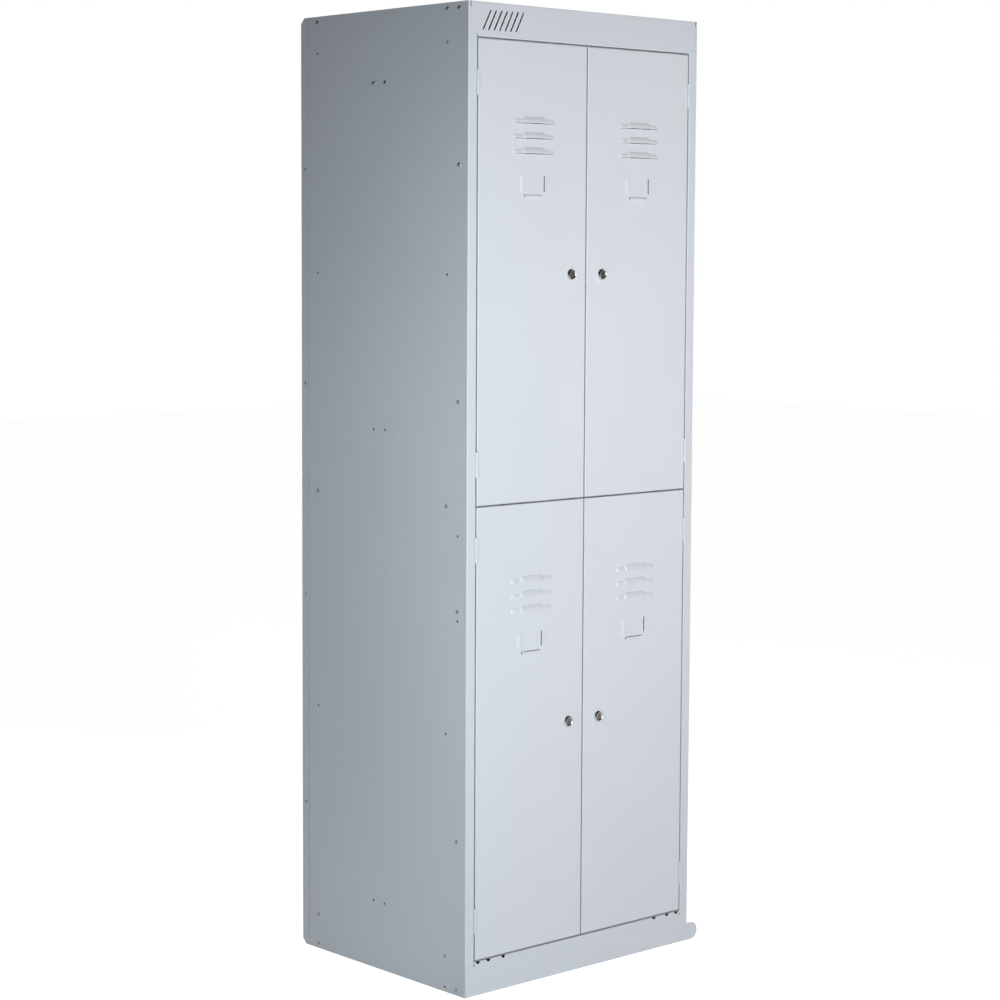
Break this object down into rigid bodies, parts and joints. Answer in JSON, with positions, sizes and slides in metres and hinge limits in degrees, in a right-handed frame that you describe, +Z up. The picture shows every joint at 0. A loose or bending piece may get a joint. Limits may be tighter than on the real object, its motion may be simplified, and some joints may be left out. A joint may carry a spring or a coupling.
{
  "type": "locker cabinet",
  "caption": "Tall steel locker cabinet with two columns of stacked hinged doors, louvres, card holders and cam locks on a plinth.",
  "frame": {"origin": "floor level, middle of the whole box, 14.7 mm right of the cabinet's own middle because of the tongue", "axes": "+Z up, -Y towards the person opening the doors, +X to that person's right"},
  "size_m": [0.6318, 0.5055, 1.85],
  "materials": {
    "cabinet_paint": "pale grey-blue powder coat, fine texture, satin",
    "door_paint": "pale grey-blue powder coat, fine texture, satin",
    "hinge_paint": "pale grey-blue powder coat over steel knuckles",
    "zinc_plate": "zinc-plated steel, satin",
    "lock_chrome": "polished chrome plate",
    "lock_nickel": "dark nickel plate, worn round the key slot"
  },
  "bodies": {
    "carcass": {"back_panel": "cabinet_paint", "roof_panel": "cabinet_paint", "floor_panel": "cabinet_paint", "plinth_tongue": "cabinet_paint", "centre_partition": "cabinet_paint", "centre_post": "cabinet_paint", "left_side_panel": "cabinet_paint", "mid_shelf_left": "cabinet_paint", "coat_rail_upper_left": "zinc_plate", "frame_hinge_upper_left_top": "hinge_paint", "hinge_pin_upper_left_top": "zinc_plate", "frame_hinge_upper_left_base": "hinge_paint", "hinge_pin_upper_left_base": "zinc_plate", "coat_rail_lower_left": "zinc_plate", "frame_hinge_lower_left_top": "hinge_paint", "hinge_pin_lower_left_top": "zinc_plate", "frame_hinge_lower_left_base": "hinge_paint", "hinge_pin_lower_left_base": "zinc_plate", "right_side_panel": "cabinet_paint", "mid_shelf_right": "cabinet_paint", "coat_rail_upper_right": "zinc_plate", "frame_hinge_upper_right_top": "hinge_paint", "hinge_pin_upper_right_top": "zinc_plate", "frame_hinge_upper_right_base": "hinge_paint", "hinge_pin_upper_right_base": "zinc_plate", "coat_rail_lower_right": "zinc_plate", "frame_hinge_lower_right_top": "hinge_paint", "hinge_pin_lower_right_top": "zinc_plate", "frame_hinge_lower_right_base": "hinge_paint", "hinge_pin_lower_right_base": "zinc_plate"},
    "upper_left_door": {"door_upper_left": "door_paint", "door_stiffener_upper_left": "door_paint", "lock_housing_upper_left": "lock_chrome", "lock_nut_upper_left": "zinc_plate"},
    "upper_left_lock": {"lock_plug_upper_left": "lock_nickel", "lock_cam_upper_left": "zinc_plate", "cam_screw_upper_left": "zinc_plate"},
    "lower_left_door": {"door_lower_left": "door_paint", "door_stiffener_lower_left": "door_paint", "lock_housing_lower_left": "lock_chrome", "lock_nut_lower_left": "zinc_plate"},
    "lower_left_lock": {"lock_plug_lower_left": "lock_nickel", "lock_cam_lower_left": "zinc_plate", "cam_screw_lower_left": "zinc_plate"},
    "upper_right_door": {"door_upper_right": "door_paint", "door_stiffener_upper_right": "door_paint", "lock_housing_upper_right": "lock_chrome", "lock_nut_upper_right": "zinc_plate"},
    "upper_right_lock": {"lock_plug_upper_right": "lock_nickel", "lock_cam_upper_right": "zinc_plate", "cam_screw_upper_right": "zinc_plate"},
    "lower_right_door": {"door_lower_right": "door_paint", "door_stiffener_lower_right": "door_paint", "lock_housing_lower_right": "lock_chrome", "lock_nut_lower_right": "zinc_plate"},
    "lower_right_lock": {"lock_plug_lower_right": "lock_nickel", "lock_cam_lower_right": "zinc_plate", "cam_screw_lower_right": "zinc_plate"}
  },
  "joints": [
    {"name": "upper_left_door_swing", "type": "hinge", "parent": "carcass", "child": "upper_left_door", "pos_m": [-0.2917, -0.25, 1.35572], "axis": [0, 0, -1], "range_deg": [0, 110]},
    {"name": "upper_left_lock_turn", "type": "hinge", "parent": "upper_left_door", "child": "upper_left_lock", "pos_m": [-0.0552, -0.2405, 1.3543], "axis": [0, -1, 0], "range_deg": [0, 90]},
    {"name": "upper_right_door_swing", "type": "hinge", "parent": "carcass", "child": "upper_right_door", "pos_m": [0.2623, -0.25, 1.35572], "axis": [0, 0, 1], "range_deg": [0, 110]},
    {"name": "upper_right_lock_turn", "type": "hinge", "parent": "upper_right_door", "child": "upper_right_lock", "pos_m": [0.0258, -0.2405, 1.3543], "axis": [0, 1, 0], "range_deg": [0, 90]},
    {"name": "lower_left_door_swing", "type": "hinge", "parent": "carcass", "child": "lower_left_door", "pos_m": [-0.2917, -0.25, 0.49657], "axis": [0, 0, -1], "range_deg": [0, 110]},
    {"name": "lower_left_lock_turn", "type": "hinge", "parent": "lower_left_door", "child": "lower_left_lock", "pos_m": [-0.0552, -0.2405, 0.49515], "axis": [0, -1, 0], "range_deg": [0, 90]},
    {"name": "lower_right_door_swing", "type": "hinge", "parent": "carcass", "child": "lower_right_door", "pos_m": [0.2623, -0.25, 0.49657], "axis": [0, 0, 1], "range_deg": [0, 110]},
    {"name": "lower_right_lock_turn", "type": "hinge", "parent": "lower_right_door", "child": "lower_right_lock", "pos_m": [0.0258, -0.2405, 0.49515], "axis": [0, 1, 0], "range_deg": [0, 90]}
  ]
}
